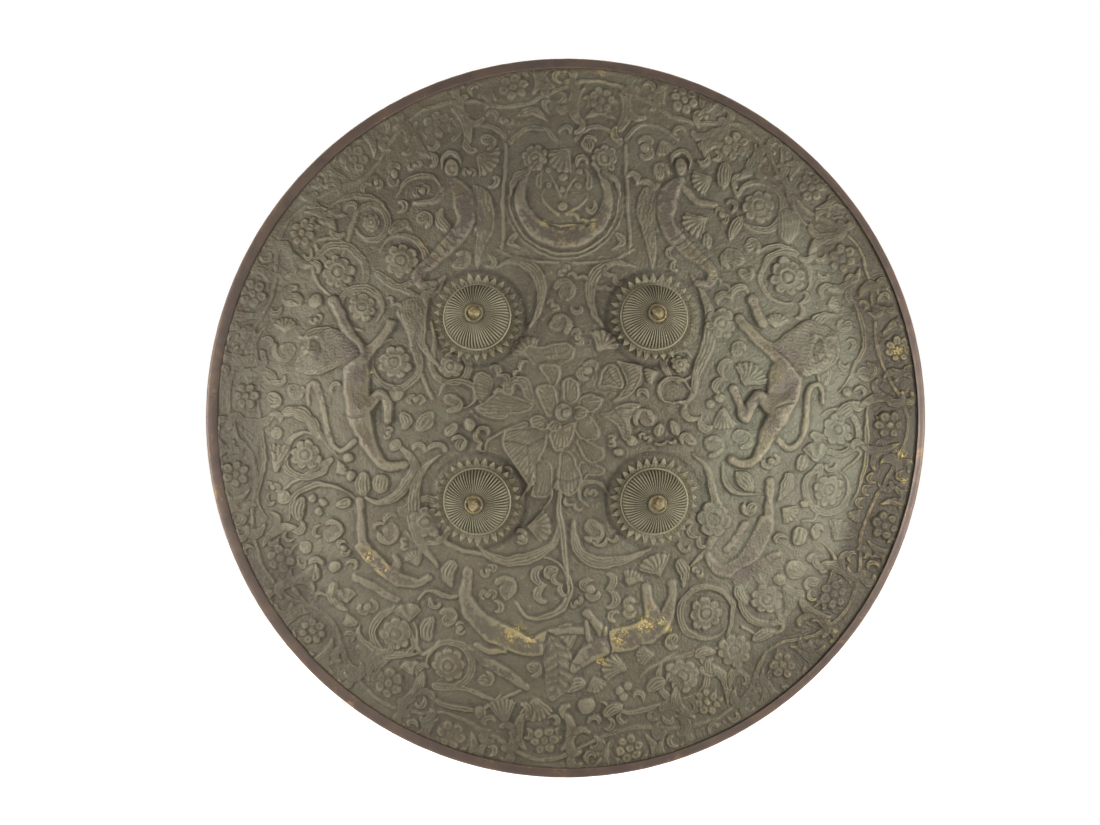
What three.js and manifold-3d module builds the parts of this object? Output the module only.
// Dhal: a round, domed brass shield worked in relief, with a bound rim, four fluted bosses
// and, on its hollow back, a padded two-strap hand grip hung on rings.
// Millimetres. The shield stands upright: its front faces -Y, its hollow back faces +Y, +Z is up.
// The origin lies on the shield's axis, level with the middles of the two grips.

import * as THREE from 'three';
import { mergeVertices } from 'three/addons/utils/BufferGeometryUtils.js';
import Module from 'manifold-3d';

const wasm = await Module();
wasm.setup();

// Dish
const shieldDiameter = 450;
const domeRadius = 380;
const borderWidth = 36;
const lipAngle = THREE.MathUtils.degToRad(20);
const plateThickness = 1.6;

// Relief on the front: how far its main forms stand proud of the sheet
const figureRise = 2.0;
const maneRise = 1.5;
const flowerRise = 1.2;
const notchShare = 0.8;

// Rim binding
const bindingThickness = 1.0;
const bindingLap = 4.6;

// Clearances
const fitGap = 0.3;
const softGap = 0.4;
const holeClearance = 0.4;
const cutOverrun = 5;

// Places of the four bosses, measured from the shield's axis
const bossHalfAcross = 54.3;
const upperBossHeight = 62;
const lowerBossHeight = -51;

// Toothed washer under each boss
const washerRadius = 28;
const washerThickness = 0.8;
const toothDepth = 2.6;
const toothCount = 30;

// Hollow boss
const bossRadius = 20;
const bossHeight = 14;
const bossSheet = 1.0;
const bossFootWidth = 1.1;
const bossFootHeight = 1.3;

// Rivet that holds the boss and carries a grip eye behind the plate
const shankRadius = 2.8;
const headRadius = 5.8;
const headHeight = 3.6;
const collarRadius = 4.6;
const collarHeight = 2.4;
const eyeRadius = 7.0;
const eyeBarRadius = 1.6;
const backWasherRadius = 11;
const backWasherThickness = 1.2;

// Hand pad and its leather base
const baseThickness = 2.5;
const baseEarRadius = 13;
const baseWaist = 11;
const padMargin = 2.5;
const padCrown = 10;
const padEdge = 4;
const padDrawIn = 3.5;
const padSideBulge = 2.4;

// Grips: a ring in each eye and a folded strap between the rings, with a padded sleeve
const ringRadius = 10.5;
const ringWireRadius = 1.6;
const ringTilt = THREE.MathUtils.degToRad(28);
const gripLean = THREE.MathUtils.degToRad(12);
const gripReach = 31;
const strapPly = 2.2;
const strapHalfWidth = 11;
const strapEndHalfWidth = 6;
const strapShoulder = 12;
const strapSeam = 7;
const sleeveHalfWidth = 14;
const sleeveHalfThickness = 6.2;
const sleeveSquareness = 2.6;
const sleeveStartShare = 0.2;

// Facets
const dishSegments = 64;
const baseSegments = dishSegments / 2;
const fieldSteps = 9;
const borderSteps = 3;
const roundSegments = 20;
const wireSegments = 6;
const ringSegments = 18;
const bossSteps = 5;
const strapSteps = 18;
const padSteps = 12;
const weldDistance = 0.001;

const fullTurn = 2 * Math.PI;
const halfTurn = Math.PI;
const quarterTurn = Math.PI / 2;

const materials = {
  bronze: metal(0x7a7462, 0.5, 0.85),
  binding: metal(0x7d6447, 0.5, 0.85),
  steel: metal(0x4a443c, 0.55, 0.9),
  leather: metal(0x4b2f20, 0.8, 0),
  velvet: metal(0x5a1a20, 0.95, 0),
};

function metal(color, roughness, metalness) {
  return new THREE.MeshStandardMaterial({ color, roughness, metalness });
}

// Solids

function toSolid(geometry) {
  const bare = geometry.clone();
  bare.deleteAttribute('normal');
  bare.deleteAttribute('uv');
  const welded = mergeVertices(bare, weldDistance);
  const source = welded.index.array;
  const corners = [];
  for (let i = 0; i < source.length; i += 3) {
    const [a, b, c] = [source[i], source[i + 1], source[i + 2]];
    if (a !== b && b !== c && c !== a) corners.push(a, b, c);
  }
  const points = welded.attributes.position;
  if (signedVolume(points, corners) < 0) corners.reverse();
  return new wasm.Manifold(new wasm.Mesh({
    numProp: 3,
    vertProperties: new Float32Array(points.array),
    triVerts: new Uint32Array(corners),
  }));
}

function signedVolume(points, corners) {
  const [a, b, c] = [new THREE.Vector3(), new THREE.Vector3(), new THREE.Vector3()];
  let sum = 0;
  for (let i = 0; i < corners.length; i += 3) {
    a.fromBufferAttribute(points, corners[i]);
    b.fromBufferAttribute(points, corners[i + 1]);
    c.fromBufferAttribute(points, corners[i + 2]);
    sum += a.dot(b.cross(c));
  }
  return sum;
}

function namedMesh(name, solid, material) {
  const { vertProperties, triVerts } = solid.getMesh();
  const geometry = new THREE.BufferGeometry();
  geometry.setAttribute('position', new THREE.BufferAttribute(new Float32Array(vertProperties), 3));
  geometry.setIndex(new THREE.BufferAttribute(new Uint32Array(triVerts), 1));
  const faceted = geometry.toNonIndexed();
  faceted.computeVertexNormals();
  const mesh = new THREE.Mesh(faceted, material);
  mesh.name = name;
  return mesh;
}

function lathe(profile, segments) {
  return new THREE.LatheGeometry(profile.map(([r, y]) => new THREE.Vector2(r, y)), segments);
}

// A flat outline in x and z, given thickness from y = 0 towards -Y
function plateFrom(shape, thickness, curveSegments) {
  const geometry = new THREE.ExtrudeGeometry(shape, {
    depth: thickness, bevelEnabled: false, curveSegments,
  });
  return geometry.rotateX(quarterTurn);
}

// Dish: a plain dome that turns out into a flatter border

const bindingHalfSlot = plateThickness / 2 + fitGap;
const noseRadius = bindingHalfSlot + bindingThickness;
const edgeRadius = shieldDiameter / 2 - noseRadius - fitGap * Math.cos(lipAngle);
const fieldRadius = shieldDiameter / 2 - borderWidth;
const fieldAngle = Math.asin(fieldRadius / domeRadius);
const borderCurve = (edgeRadius - fieldRadius) / (Math.sin(fieldAngle) - Math.sin(lipAngle));
const fieldDepth = domeRadius * (1 - Math.cos(fieldAngle));
const edgeDepth = fieldDepth + borderCurve * (Math.cos(lipAngle) - Math.cos(fieldAngle));

// Points of the dome's profile, moved off its mid surface by an offset towards the back
function domeProfile(offset, steps) {
  const points = [];
  for (let i = 0; i <= steps; i += 1) {
    const angle = fieldAngle * i / fieldSteps;
    const radius = domeRadius - offset;
    points.push([radius * Math.sin(angle), domeRadius - radius * Math.cos(angle)]);
  }
  return points;
}

function borderProfile(offset) {
  const points = [];
  for (let i = 1; i <= borderSteps; i += 1) {
    const angle = fieldAngle + (lipAngle - fieldAngle) * i / borderSteps;
    points.push([
      fieldRadius + borderCurve * (Math.sin(fieldAngle) - Math.sin(angle)) - offset * Math.sin(angle),
      fieldDepth + borderCurve * (Math.cos(angle) - Math.cos(fieldAngle)) + offset * Math.cos(angle),
    ]);
  }
  return points;
}

function dishSurface(offset) {
  return [...domeProfile(offset, fieldSteps), ...borderProfile(offset)];
}

// Boss frames: origin on the plate's mid surface, +Y along the inward normal, +Z along the grip

function onDome(x, z) {
  return new THREE.Vector3(x, domeRadius - Math.sqrt(domeRadius ** 2 - x ** 2 - z ** 2), z);
}

function inwardNormal(point) {
  return new THREE.Vector3(0, domeRadius, 0).sub(point).normalize();
}

const baseFront = plateThickness / 2 + fitGap;
const baseBack = baseFront + baseThickness;
const backWasherRise = backWasherRadius ** 2 / (2 * (domeRadius - baseBack));
const backWasherFront = baseBack + fitGap + backWasherRise;
const collarFront = backWasherFront + backWasherThickness + fitGap;
const eyeHeight = collarFront + collarHeight + eyeRadius;

function eyeCentre(x, z) {
  const foot = onDome(x, z);
  return foot.addScaledVector(inwardNormal(foot), eyeHeight);
}

function gripAxis(side) {
  const x = side * bossHalfAcross;
  return eyeCentre(x, upperBossHeight).sub(eyeCentre(x, lowerBossHeight)).normalize();
}

function bossFrame(side, height) {
  const foot = onDome(side * bossHalfAcross, height);
  const back = inwardNormal(foot);
  const along = gripAxis(side);
  along.addScaledVector(back, -along.dot(back)).normalize();
  const across = new THREE.Vector3().crossVectors(back, along);
  return new THREE.Matrix4().makeBasis(across, back, along).setPosition(foot);
}

const bosses = [
  { spot: 'upper_left', side: -1, height: upperBossHeight },
  { spot: 'upper_right', side: 1, height: upperBossHeight },
  { spot: 'lower_left', side: -1, height: lowerBossHeight },
  { spot: 'lower_right', side: 1, height: lowerBossHeight },
];

function shankHoles() {
  const reach = plateThickness + baseBack + cutOverrun;
  return bosses.map(({ side, height }) => {
    const drill = new THREE.CylinderGeometry(
      shankRadius + holeClearance, shankRadius + holeClearance, 2 * reach, roundSegments,
    );
    return toSolid(drill.applyMatrix4(bossFrame(side, height)));
  });
}

function drilled(solid) {
  return shankHoles().reduce((rest, hole) => rest.subtract(hole), solid);
}

function shieldPlate() {
  const front = dishSurface(-plateThickness / 2);
  const back = dishSurface(plateThickness / 2).reverse();
  const sheet = toSolid(lathe([...front, ...back], dishSegments));
  return drilled(reliefLayers().reduce((rest, layer) => rest.add(layer), sheet));
}

// Relief: places in pixels of the photograph, where the shield is round

const photoCentrePixels = [565.5, 418];
const photoDiameterPixels = 719;
const pixel = shieldDiameter / photoDiameterPixels;

// Border rosettes: x, y
const rosettePixels = [
  [601, 101], [684, 101], [735, 145], [810, 188], [841, 258], [897, 349], [887, 425], [884, 525],
  [832, 595], [782, 665], [706, 701], [628, 748], [544, 740], [452, 735], [389, 682], [314, 631],
  [282, 558], [237, 473], [248, 396], [253, 293], [304, 233], [354, 159], [439, 125], [514, 88],
];
const rosetteReachPixels = 14.5;
const rosettePetals = 6;

// Flowers of the field: x, y, reach
const flowerPixels = [
  [372, 224, 9], [403, 260, 16], [340, 272, 16], [363, 308, 14], [396, 363, 16.5], [451, 365, 12],
  [307, 455, 15], [427, 522, 16], [397, 633, 15], [448, 664, 16], [758, 208, 16], [786, 277, 18],
  [720, 324, 15], [837, 430, 15], [827, 490, 15], [713, 519, 17], [679, 365, 10], [705, 613, 16],
  [765, 598, 15], [733, 650, 17], [682, 675, 17], [605, 159, 13], [534, 159, 13], [566, 412, 20],
];
const flowerPetals = 7;

// Limbs and tails: each a line of x, y, half width. The upper figure has a twin across the axis.
const upperFigurePixels = [
  [[679, 160, 6], [679, 172, 7], [670, 190, 9], [666, 204, 11], [666, 220, 9], [674, 236, 9],
    [688, 252, 8], [702, 264, 7], [711, 276, 5.5], [700, 286, 4]],
  [[677, 184, 5], [694, 201, 4], [716, 205, 3]],
];
const leftLionPixels = [
  [[335, 302, 6.5], [343, 320, 6], [352, 338, 7], [357, 354, 12], [357, 372, 14], [357, 390, 12.5],
    [359, 406, 12], [363, 424, 10], [374, 450, 7], [386, 464, 5.5], [406, 465, 5]],
  [[392, 322, 5], [380, 339, 5.5], [362, 356, 9]],
  [[366, 404, 7], [382, 394, 6.5], [388, 408, 5], [388, 420, 4.5]],
  [[355, 440, 5], [344, 446, 5.5], [334, 439, 6], [329, 422, 6], [326, 400, 6], [319, 387, 5]],
];
const rightLionPixels = [
  [[740, 320, 6.5], [750, 332, 6], [762, 344, 6.5], [778, 356, 11], [783, 378, 16.5], [780, 394, 13],
    [778, 412, 12], [768, 432, 9], [759, 452, 6], [744, 463, 5], [731, 460, 5]],
  [[753, 300, 6], [757, 312, 5.5], [762, 324, 5.5]],
  [[772, 410, 9], [760, 400, 8], [750, 412, 6], [743, 410, 5], [733, 389, 5]],
  [[779, 444, 5], [790, 449, 6], [801, 440, 6.5], [805, 420, 6.5], [806, 398, 6.5], [813, 385, 5]],
];
const sideAnimalPixels = [
  [[361, 500, 4.5], [361, 520, 4], [362, 538, 6], [372, 556, 8], [394, 576, 8], [420, 583, 5]],
  [[769, 481, 5], [768, 500, 4.5], [767, 518, 8], [758, 540, 10], [742, 565, 9], [714, 568, 5]],
];
const bottomAnimalPixels = [
  [[470, 570, 5], [466, 586, 5], [467, 602, 7], [479, 620, 10], [494, 631, 13], [520, 643, 11],
    [548, 652, 12], [566, 652, 12]],
  [[646, 586, 4.5], [650, 606, 6], [654, 624, 11], [630, 636, 13], [606, 642, 11], [584, 654, 13]],
];

// A crescent, open at its top: centre, radius and half width
const crescentCentrePixels = [564, 199];
const crescentRadiusPixels = 52;
const crescentHalfWidthPixels = 3.4;
const crescentSweep = THREE.MathUtils.degToRad(292);
const crescentSteps = 14;

// Outlines of the lions' manes with their heads
const manePixels = [
  [[296, 370], [298, 350], [306, 334], [320, 326], [338, 329], [352, 340], [362, 352], [352, 362],
    [334, 373], [314, 378]],
  [[771, 347], [780, 336], [792, 328], [808, 321], [824, 326], [838, 338], [838, 360], [822, 372],
    [804, 376], [788, 362]],
];

function fromPhoto([x, y]) {
  const [centreX, centreY] = photoCentrePixels;
  return new THREE.Vector2((x - centreX) * pixel, (centreY - y) * pixel);
}

function acrossAxis([x, y, half]) {
  return [2 * photoCentrePixels[0] - x, y, half];
}

function flowerOutline([x, y, reach], petals) {
  const centre = fromPhoto([x, y]);
  return new THREE.Shape(Array.from({ length: 2 * petals }, (_, i) => {
    const turn = halfTurn * i / petals + centre.angle();
    const radius = reach * pixel * (i % 2 ? notchShare : 1);
    return new THREE.Vector2(Math.cos(turn), Math.sin(turn)).multiplyScalar(radius).add(centre);
  }));
}

function crescentLine() {
  const [centreX, centreY] = crescentCentrePixels;
  return Array.from({ length: crescentSteps + 1 }, (_, i) => {
    const turn = crescentSweep * (i / crescentSteps - 1 / 2);
    return [
      centreX + crescentRadiusPixels * Math.sin(turn),
      centreY + crescentRadiusPixels * Math.cos(turn),
      crescentHalfWidthPixels,
    ];
  });
}

// Outline of a limb with round ends
function limbOutline(limb) {
  const line = limb.map(fromPhoto);
  const last = line.length - 1;
  const along = line.map((_, i) => line[Math.min(i + 1, last)].clone()
    .sub(line[Math.max(i - 1, 0)]).normalize());
  const offset = (i, turn) => along[i].clone().rotateAround(new THREE.Vector2(), turn)
    .multiplyScalar(limb[i][2] * pixel).add(line[i]);
  const left = line.map((_, i) => offset(i, quarterTurn));
  const right = line.map((_, i) => offset(i, -quarterTurn)).reverse();
  const capTurn = quarterTurn / 2;
  return new THREE.Shape([
    ...left, offset(last, capTurn), offset(last, -capTurn),
    ...right, offset(0, halfTurn + capTurn), offset(0, halfTurn - capTurn),
  ]);
}

// Outlines raised from the sheet by a rise, clear of the binding and of the bosses' washers
function raised(outlines, rise) {
  const reach = edgeRadius - bindingLap;
  const depth = edgeDepth + 2 * cutOverrun;
  const through = (geometry) => toSolid(geometry.translate(0, depth - cutOverrun, 0));
  const stamp = outlines.map((shape) => through(plateFrom(shape, depth, roundSegments / 2)))
    .reduce((rest, one) => rest.add(one));
  const front = dishSurface(-plateThickness / 2 - rise);
  const back = dishSurface(0).reverse();
  const field = new THREE.Shape();
  field.absarc(0, 0, reach, 0, fullTurn, false);
  const layer = toSolid(lathe([...front, ...back], dishSegments)).intersect(stamp)
    .intersect(through(plateFrom(field, depth, dishSegments / 2)));
  return bosses.reduce((rest, { side, height }) => {
    const radius = washerRadius + fitGap;
    const round = new THREE.CylinderGeometry(radius, radius, 2 * reach, roundSegments);
    return rest.subtract(toSolid(round.applyMatrix4(bossFrame(side, height))));
  }, layer);
}

function reliefLayers() {
  const upperFigures = [
    ...upperFigurePixels, ...upperFigurePixels.map((limb) => limb.map(acrossAxis)),
  ];
  const animals = [
    ...leftLionPixels, ...rightLionPixels, ...sideAnimalPixels, ...bottomAnimalPixels,
  ];
  const flowers = [
    ...rosettePixels.map(([x, y]) => flowerOutline([x, y, rosetteReachPixels], rosettePetals)),
    ...flowerPixels.map((flower) => flowerOutline(flower, flowerPetals)),
  ];
  return [
    raised([...upperFigures, ...animals].map(limbOutline), figureRise),
    raised(manePixels.map((outline) => new THREE.Shape(outline.map(fromPhoto))), maneRise),
    raised([...flowers, limbOutline(crescentLine())], flowerRise),
  ];
}

// A drawn strip folded over the plate's edge, with a round nose and its back dressed flat
function rimBinding() {
  const [cos, sin] = [Math.cos(lipAngle), Math.sin(lipAngle)];
  const place = (along, out) => [
    edgeRadius + along * cos + out * sin,
    edgeDepth + along * sin - out * cos,
  ];
  const [noseRho, noseY] = place(fitGap, 0);
  const flatY = noseY + noseRadius;
  const noseSteps = 6;
  const profile = [place(-bindingLap, bindingHalfSlot + bindingThickness)];
  for (let i = 0; i <= noseSteps; i += 1) {
    const turn = lipAngle - quarterTurn + (halfTurn - lipAngle) * i / noseSteps;
    profile.push([noseRho + noseRadius * Math.cos(turn), noseY + noseRadius * Math.sin(turn)]);
  }
  const [slotMouthRho] = place(-bindingLap, -bindingHalfSlot);
  profile.push([slotMouthRho, flatY]);
  profile.push(place(-bindingLap, -bindingHalfSlot));
  profile.push(place(fitGap, -bindingHalfSlot));
  profile.push(place(fitGap, bindingHalfSlot));
  profile.push(place(-bindingLap, bindingHalfSlot));
  profile.push(profile[0]);
  return toSolid(lathe(profile, dishSegments));
}

// Boss pieces, each built about the boss frame's Y axis

const washerBack = -(plateThickness / 2 + fitGap);
const bossFoot = washerBack - washerThickness - fitGap;
const headSeat = bossFoot - bossHeight - fitGap;

function disc(outline, holeRadius) {
  const hole = new THREE.Path();
  hole.absarc(0, 0, holeRadius, 0, fullTurn, true);
  outline.holes.push(hole);
  return outline;
}

function toothedWasher() {
  const outline = new THREE.Shape();
  const corners = [];
  for (let i = 0; i < toothCount; i += 1) {
    const tip = fullTurn * i / toothCount;
    const root = tip + halfTurn / toothCount;
    const rootRadius = washerRadius - toothDepth;
    corners.push([washerRadius * Math.cos(tip), washerRadius * Math.sin(tip)]);
    corners.push([rootRadius * Math.cos(root), rootRadius * Math.sin(root)]);
  }
  outline.setFromPoints(corners.map(([x, y]) => new THREE.Vector2(x, y)));
  const shape = disc(outline, shankRadius + holeClearance);
  return plateFrom(shape, washerThickness, roundSegments / 2).translate(0, washerBack, 0);
}

function bossDome() {
  const holeRadius = shankRadius + holeClearance;
  const shell = (radius, height) => {
    const end = Math.acos(holeRadius / radius);
    return Array.from({ length: bossSteps + 1 }, (_, i) => [
      radius * Math.cos(end * i / bossSteps),
      bossFoot - height * Math.sin(end * i / bossSteps),
    ]);
  };
  const outer = shell(bossRadius, bossHeight);
  const footBottom = [bossRadius + bossFootWidth, bossFoot];
  const footTop = [bossRadius + bossFootWidth, bossFoot - bossFootHeight];
  const inner = shell(bossRadius - bossSheet, bossHeight - bossSheet).reverse();
  const riser = [
    bossRadius * Math.cos(Math.asin(bossFootHeight / bossHeight)),
    bossFoot - bossFootHeight,
  ];
  return lathe([footBottom, footTop, riser, ...outer.slice(1), ...inner, footBottom], roundSegments);
}

function bossRivet() {
  const headSteps = 4;
  const head = Array.from({ length: headSteps + 1 }, (_, i) => {
    const turn = quarterTurn * i / headSteps;
    return [headRadius * Math.sin(turn), headSeat - headHeight * Math.cos(turn)];
  });
  const body = lathe([
    ...head,
    [shankRadius, headSeat],
    [shankRadius, collarFront],
    [collarRadius, collarFront],
    [collarRadius, collarFront + collarHeight],
    [0, collarFront + collarHeight],
  ], roundSegments);
  const eye = new THREE.TorusGeometry(eyeRadius, eyeBarRadius, wireSegments, ringSegments);
  eye.rotateY(quarterTurn).translate(0, eyeHeight, 0);
  return toSolid(body).add(toSolid(eye));
}

function backWasher() {
  const outline = new THREE.Shape();
  outline.absarc(0, 0, backWasherRadius, 0, fullTurn, false);
  const shape = disc(outline, shankRadius + holeClearance);
  const back = backWasherFront + backWasherThickness;
  return plateFrom(shape, backWasherThickness, roundSegments / 2).translate(0, back, 0);
}

// Leather base: an eared sheet that lies in the dome, held under the back washers

const middleHeight = (upperBossHeight + lowerBossHeight) / 2;
const halfRise = (upperBossHeight - lowerBossHeight) / 2;

function padBase() {
  const reachRadius = Math.hypot(bossHalfAcross, halfRise) + Math.abs(middleHeight) + baseEarRadius;
  const steps = Math.ceil(fieldSteps * Math.asin(reachRadius / domeRadius) / fieldAngle);
  const front = domeProfile(baseFront, steps);
  const back = domeProfile(baseBack, steps).reverse();
  const sheet = toSolid(lathe([...front, ...back], baseSegments));
  const depth = edgeDepth + 2 * cutOverrun;
  const cutter = plateFrom(earedOutline(), depth, roundSegments / 2).translate(0, depth - cutOverrun, 0);
  return drilled(sheet.intersect(toSolid(cutter)));
}

// Four round ears joined by sides that bow inwards
function earedOutline() {
  const earX = bossHalfAcross;
  const side = bossHalfAcross + baseEarRadius;
  const top = upperBossHeight + baseEarRadius;
  const bottom = lowerBossHeight - baseEarRadius;
  const outline = new THREE.Shape();
  outline.absarc(earX, upperBossHeight, baseEarRadius, 0, quarterTurn, false);
  outline.quadraticCurveTo(0, top - 2 * baseWaist, -earX, top);
  outline.absarc(-earX, upperBossHeight, baseEarRadius, quarterTurn, halfTurn, false);
  outline.quadraticCurveTo(-side + 2 * baseWaist, middleHeight, -side, lowerBossHeight);
  outline.absarc(-earX, lowerBossHeight, baseEarRadius, halfTurn, halfTurn + quarterTurn, false);
  outline.quadraticCurveTo(0, bottom + 2 * baseWaist, earX, bottom);
  outline.absarc(earX, lowerBossHeight, baseEarRadius, -quarterTurn, 0, false);
  outline.quadraticCurveTo(side - 2 * baseWaist, middleHeight, side, upperBossHeight);
  return outline;
}

// Cushion: its underside lies in the dome, its top is crowned and its sides are drawn in
function handPad() {
  const halfWidth = bossHalfAcross - backWasherRadius - padMargin;
  const halfHeight = halfRise - backWasherRadius - padMargin;
  const sideLayers = 3;
  const geometry = new THREE.BoxGeometry(1, 1, 1, padSteps, sideLayers, padSteps);
  const points = geometry.attributes.position;
  const floorRadius = domeRadius - baseBack - softGap;
  for (let i = 0; i < points.count; i += 1) {
    const u = points.getX(i) * 2;
    const v = points.getZ(i) * 2;
    const level = points.getY(i) + 1 / 2;
    const bulge = padSideBulge * (1 - (level * 2 - 1) ** 2);
    const x = u * (halfWidth - padSideBulge + bulge - padDrawIn * (1 - v ** 2));
    const z = v * (halfHeight - padSideBulge + bulge - padDrawIn * (1 - u ** 2));
    const floorY = domeRadius - Math.sqrt(floorRadius ** 2 - x ** 2 - (z + middleHeight) ** 2);
    const crown = Math.sqrt((1 - u ** 4) * (1 - v ** 4));
    const height = padEdge + (padCrown - padEdge) * crown;
    points.setXYZ(i, x, floorY + level * height, z + middleHeight);
  }
  return geometry;
}

// Grip frame: +Z along the line about which the grip swings, +Y from that line to the strap

const hookOffset = eyeBarRadius + ringWireRadius + fitGap;

function gripFrame(side) {
  const x = side * bossHalfAcross;
  const axis = gripAxis(side);
  const upperFoot = onDome(x, upperBossHeight);
  const back = inwardNormal(upperFoot);
  back.addScaledVector(axis, -back.dot(axis)).normalize();
  const shift = (sign) => back.clone().multiplyScalar(eyeRadius * Math.cos(ringTilt))
    .addScaledVector(axis, sign * eyeRadius * Math.sin(ringTilt));
  const upper = eyeCentre(x, upperBossHeight).add(shift(-1));
  const lower = eyeCentre(x, lowerBossHeight).add(shift(1));
  const origin = upper.clone().add(lower).divideScalar(2);
  const lean = back.clone().applyAxisAngle(axis, side * gripLean);
  const across = new THREE.Vector3().crossVectors(lean, axis);
  const matrix = new THREE.Matrix4().makeBasis(across, lean, axis).setPosition(origin);
  return { matrix, halfSpan: upper.distanceTo(lower) / 2 };
}

// Where the far side of a ring lies in the grip frame: the strap end hooks on there
function strapEnd(halfSpan, sign) {
  const out = 2 * ringRadius - hookOffset;
  return new THREE.Vector2(out * Math.cos(ringTilt), sign * (halfSpan - out * Math.sin(ringTilt)));
}

function gripRing(halfSpan, sign) {
  const geometry = new THREE.TorusGeometry(ringRadius, ringWireRadius, wireSegments, ringSegments);
  const out = ringRadius - hookOffset;
  geometry.rotateX(-sign * ringTilt);
  return geometry.translate(0, out * Math.cos(ringTilt), sign * (halfSpan - out * Math.sin(ringTilt)));
}

// Middle line of the strap: x is the distance from the swing line, y runs along it
function strapLine(halfSpan) {
  const start = strapEnd(halfSpan, 1);
  const end = strapEnd(halfSpan, -1);
  const pull = (gripReach - start.x) * 4 / 3 / Math.cos(ringTilt);
  const lead = new THREE.Vector2(Math.cos(ringTilt), -Math.sin(ringTilt)).multiplyScalar(pull);
  const leadBack = new THREE.Vector2(lead.x, -lead.y);
  return new THREE.CubicBezierCurve(start, start.clone().add(lead), end.clone().add(leadBack), end);
}

// How far the curved ring sets the strap's loop back from the ring's far side, at the strap's edges
const ringInside = ringRadius - ringWireRadius;
const ringSag = ringInside - Math.sqrt(ringInside ** 2 - strapEndHalfWidth ** 2);
const loopInside = ringWireRadius + fitGap;
const loopOutside = loopInside + strapPly;

// Side view of the strap: two plies along the middle line, opened into a loop at each end
function strapSide(halfSpan) {
  const line = strapLine(halfSpan);
  const length = line.getLength();
  const first = strapSeam / length;
  const sides = [1, -1].map((hand) => Array.from({ length: strapSteps + 1 }, (_, i) => {
    const u = first + (1 - 2 * first) * i / strapSteps;
    const tangent = line.getTangentAt(u);
    return line.getPointAt(u).add(new THREE.Vector2(tangent.y, -tangent.x).multiplyScalar(hand * strapPly));
  }));
  const loopArc = (sign, radius, from, to, steps) => {
    const end = strapEnd(halfSpan, sign);
    const heading = -sign * ringTilt;
    const centre = new THREE.Vector2(
      end.x - ringSag * Math.cos(ringTilt), end.y + sign * ringSag * Math.sin(ringTilt),
    );
    return Array.from({ length: steps + 1 }, (_, i) => {
      const turn = heading + from + (to - from) * i / steps;
      return new THREE.Vector2(radius * Math.cos(turn), radius * Math.sin(turn)).add(centre);
    });
  };
  const loopSteps = 8;
  const upperArc = loopArc(1, loopOutside, quarterTurn, quarterTurn + halfTurn, loopSteps);
  const lowerArc = loopArc(-1, loopOutside, quarterTurn, quarterTurn + halfTurn, loopSteps);
  const outline = new THREE.Shape([
    ...upperArc.reverse(), ...sides[1], ...lowerArc.reverse(), ...sides[0].reverse(),
  ]);
  for (const sign of [1, -1]) outline.holes.push(new THREE.Path(loopHole(loopArc, halfSpan, sign)));
  return outline;
}

// The hole is drawn out towards the ring's middle by the ring's own curve across the strap
function loopHole(loopArc, halfSpan, sign) {
  const steps = 5;
  const near = loopArc(sign, loopInside, quarterTurn, quarterTurn + halfTurn, steps);
  const shift = new THREE.Vector2(Math.cos(ringTilt), -sign * Math.sin(ringTilt)).multiplyScalar(ringSag);
  const far = loopArc(sign, loopInside, -quarterTurn, quarterTurn, steps).map((point) => point.add(shift));
  return [...near, ...far];
}

// Front view of the strap, which narrows to pass through the rings
function strapFront(halfSpan) {
  const end = strapEnd(halfSpan, 1).y;
  const neck = end - strapSeam;
  const shoulder = neck - strapShoulder;
  const far = end + loopOutside + cutOverrun;
  const corners = [
    [strapEndHalfWidth, far], [strapEndHalfWidth, neck], [strapHalfWidth, shoulder],
    [strapHalfWidth, -shoulder], [strapEndHalfWidth, -neck], [strapEndHalfWidth, -far],
  ];
  const mirrored = corners.map(([x, y]) => [-x, y]).reverse();
  return new THREE.Shape([...corners, ...mirrored].map(([x, y]) => new THREE.Vector2(x, y)));
}

function gripStrap(halfSpan) {
  const side = new THREE.ExtrudeGeometry(strapSide(halfSpan), {
    depth: 2 * strapHalfWidth, bevelEnabled: false,
  }).translate(0, 0, -strapHalfWidth);
  const toGrip = new THREE.Matrix4().makeBasis(
    new THREE.Vector3(0, 1, 0), new THREE.Vector3(0, 0, 1), new THREE.Vector3(1, 0, 0),
  );
  const depth = gripReach + strapPly + 2 * cutOverrun;
  const front = plateFrom(strapFront(halfSpan), depth, roundSegments).translate(0, depth - cutOverrun, 0);
  return toSolid(side.applyMatrix4(toGrip)).intersect(toSolid(front));
}

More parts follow.
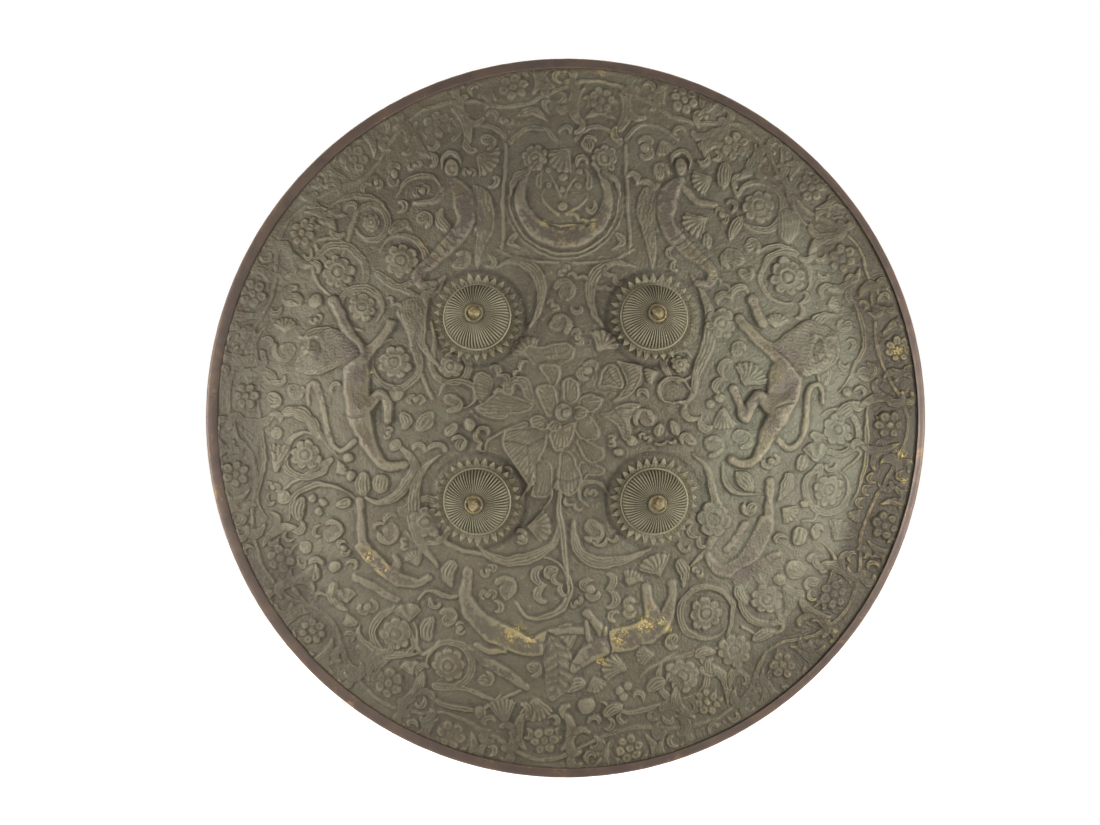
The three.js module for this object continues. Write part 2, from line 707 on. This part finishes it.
// Padded sleeve around the middle of the strap
function gripSleeve(halfSpan) {
  const line = strapLine(halfSpan);
  const steps = 10;
  const path = new THREE.CatmullRomCurve3(Array.from({ length: steps + 1 }, (_, i) => {
    const point = line.getPointAt(sleeveStartShare + (1 - 2 * sleeveStartShare) * i / steps);
    return new THREE.Vector3(0, point.x, point.y);
  }));
  const outline = new THREE.Shape(Array.from({ length: roundSegments }, (_, i) => {
    const turn = fullTurn * i / roundSegments;
    const rounded = (value) => Math.sign(value) * Math.abs(value) ** (2 / sleeveSquareness);
    return new THREE.Vector2(
      sleeveHalfWidth * rounded(Math.cos(turn)), sleeveHalfThickness * rounded(Math.sin(turn)),
    );
  }));
  const slotWidth = strapHalfWidth + softGap;
  const slotThickness = strapPly + softGap;
  outline.holes.push(new THREE.Path([
    new THREE.Vector2(-slotWidth, -slotThickness), new THREE.Vector2(-slotWidth, slotThickness),
    new THREE.Vector2(slotWidth, slotThickness), new THREE.Vector2(slotWidth, -slotThickness),
  ]));
  return new THREE.ExtrudeGeometry(outline, { steps, bevelEnabled: false, extrudePath: path });
}

// Assembly

function setInFrame(object, matrix) {
  matrix.decompose(object.position, object.quaternion, object.scale);
  return object;
}

function bossGroup({ spot, side, height }) {
  const group = setInFrame(new THREE.Group(), bossFrame(side, height));
  group.add(
    namedMesh(`boss_washer_${spot}`, toSolid(toothedWasher()), materials.bronze),
    namedMesh(`boss_dome_${spot}`, toSolid(bossDome()), materials.bronze),
    namedMesh(`boss_rivet_${spot}`, bossRivet(), materials.binding),
    namedMesh(`back_washer_${spot}`, toSolid(backWasher()), materials.bronze),
  );
  return group;
}

function gripGroup(hand, side) {
  const { matrix, halfSpan } = gripFrame(side);
  const group = setInFrame(new THREE.Group(), matrix);
  group.add(
    namedMesh(`grip_ring_upper_${hand}`, toSolid(gripRing(halfSpan, 1)), materials.steel),
    namedMesh(`grip_ring_lower_${hand}`, toSolid(gripRing(halfSpan, -1)), materials.steel),
    namedMesh(`grip_strap_${hand}`, gripStrap(halfSpan), materials.leather),
    namedMesh(`grip_sleeve_${hand}`, toSolid(gripSleeve(halfSpan)), materials.velvet),
  );
  return group;
}

const shield = new THREE.Group();
shield.add(
  namedMesh('shield_plate', shieldPlate(), materials.bronze),
  namedMesh('rim_binding', rimBinding(), materials.binding),
  namedMesh('pad_base', padBase(), materials.leather),
  namedMesh('hand_pad', toSolid(handPad()), materials.velvet),
  ...bosses.map(bossGroup),
  gripGroup('left', -1),
  gripGroup('right', 1),
);

// The origin is level with the middles of the grips
const gripMiddle = new THREE.Vector3(0, gripReach, 0).applyMatrix4(gripFrame(1).matrix);
shield.position.y = -gripMiddle.y;

const dhal = new THREE.Group();
dhal.add(shield);

export default dhal;
